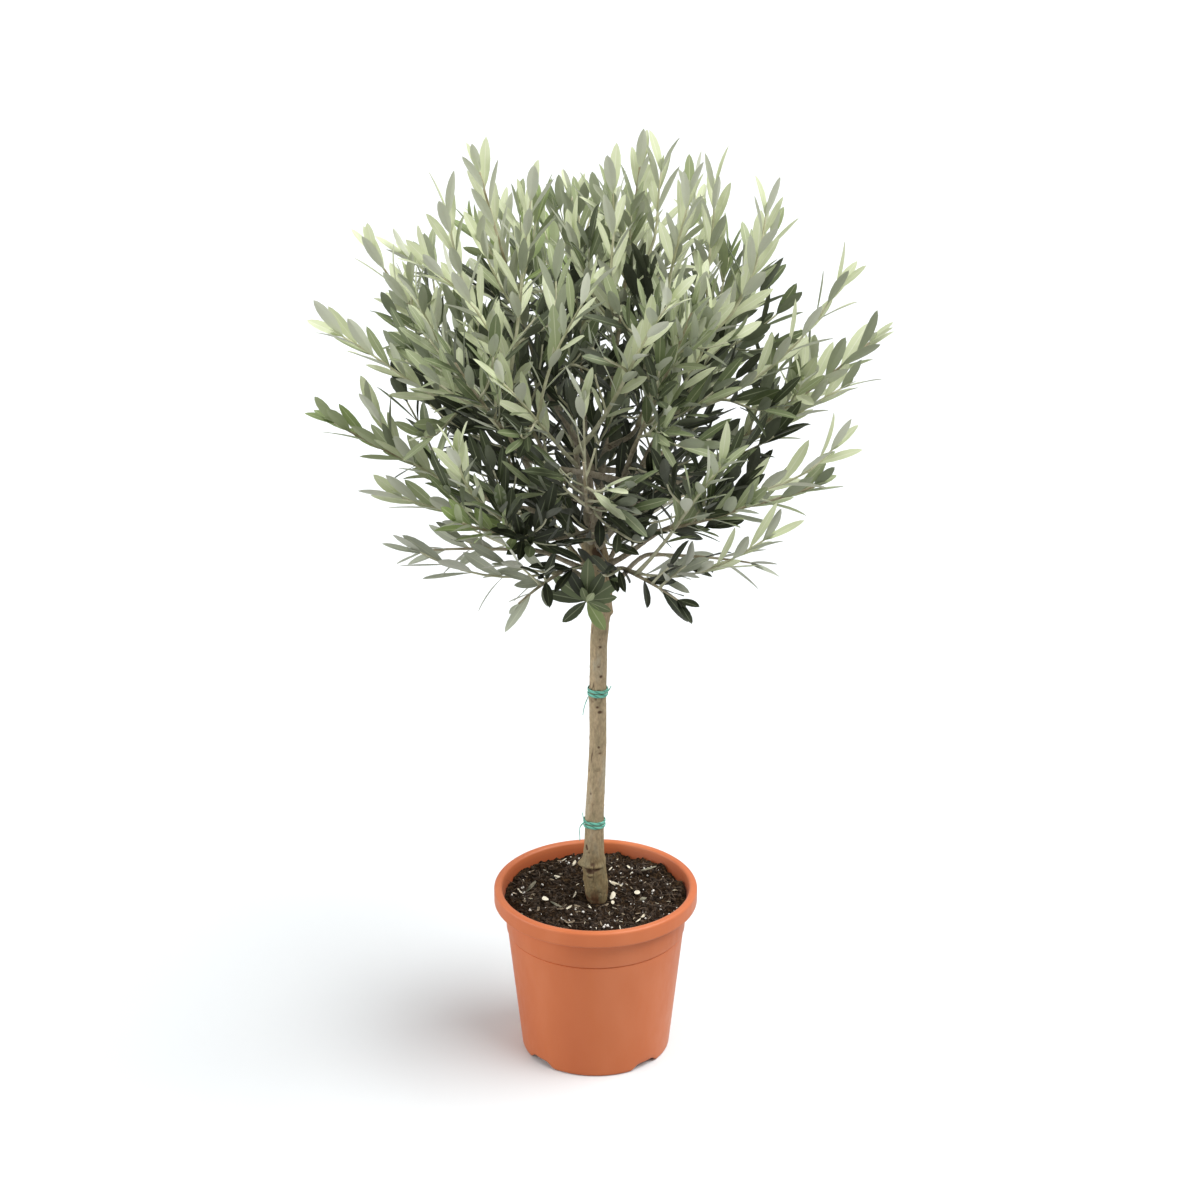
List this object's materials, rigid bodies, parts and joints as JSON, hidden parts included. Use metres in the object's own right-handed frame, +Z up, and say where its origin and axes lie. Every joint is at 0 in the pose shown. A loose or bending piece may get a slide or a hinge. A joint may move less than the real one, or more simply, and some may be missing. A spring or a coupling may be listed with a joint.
{
  "type": "potted olive tree",
  "caption": "Standard olive tree with a clear trunk and a round, open head of leafy shoots, growing in a terracotta-coloured plastic nursery pot that stands on its flat base.",
  "frame": {"origin": "centre of the flat underside of the pot, on the surface that the pot stands on", "axes": "+Z up along the trunk, -Y towards the front of the tree, +X to the right when the tree is seen from its front"},
  "size_m": [0.5753, 0.4839, 0.9759],
  "materials": {
    "terracotta_plastic": "plain moulded plastic, satin",
    "peat": "moist peat with perlite, wood chips and fibres",
    "bark": "grey-brown bark with fine fissures",
    "olive_leaf": "leathery leaves, grey-green above and silvery below",
    "twine": "twisted garden twine"
  },
  "bodies": {
    "root": {"bough_back_left": "bark", "bough_back_right": "bark", "bough_front": "bark", "bough_front_left": "bark", "bough_front_right": "bark", "bough_high_back": "bark", "bough_high_front_left": "bark", "bough_high_front_right": "bark", "bough_inner_left": "bark", "bough_inner_right": "bark", "bough_low_back_left": "bark", "bough_low_back_right": "bark", "bough_low_front_left": "bark", "bough_low_front_right": "bark", "bough_low_left": "bark", "bough_low_right": "bark", "bough_right": "bark", "bough_shoulder_left": "bark", "bough_shoulder_right": "bark", "bough_side_left": "bark", "bough_side_right": "bark", "bough_top": "bark", "bough_top_left": "bark", "foliage_back_left": "olive_leaf", "foliage_back_right": "olive_leaf", "foliage_front": "olive_leaf", "foliage_front_left": "olive_leaf", "foliage_front_right": "olive_leaf", "foliage_high_back": "olive_leaf", "foliage_high_front_left": "olive_leaf", "foliage_high_front_right": "olive_leaf", "foliage_inner_left": "olive_leaf", "foliage_inner_right": "olive_leaf", "foliage_low_back_left": "olive_leaf", "foliage_low_back_right": "olive_leaf", "foliage_low_front_left": "olive_leaf", "foliage_low_front_right": "olive_leaf", "foliage_low_left": "olive_leaf", "foliage_low_right": "olive_leaf", "foliage_right": "olive_leaf", "foliage_shoulder_left": "olive_leaf", "foliage_shoulder_right": "olive_leaf", "foliage_side_left": "olive_leaf", "foliage_side_right": "olive_leaf", "foliage_top": "olive_leaf", "foliage_top_left": "olive_leaf", "pot": "terracotta_plastic", "soil": "peat", "tie_lower": "twine", "tie_upper": "twine", "trunk": "bark"}
  },
  "joints": []
}
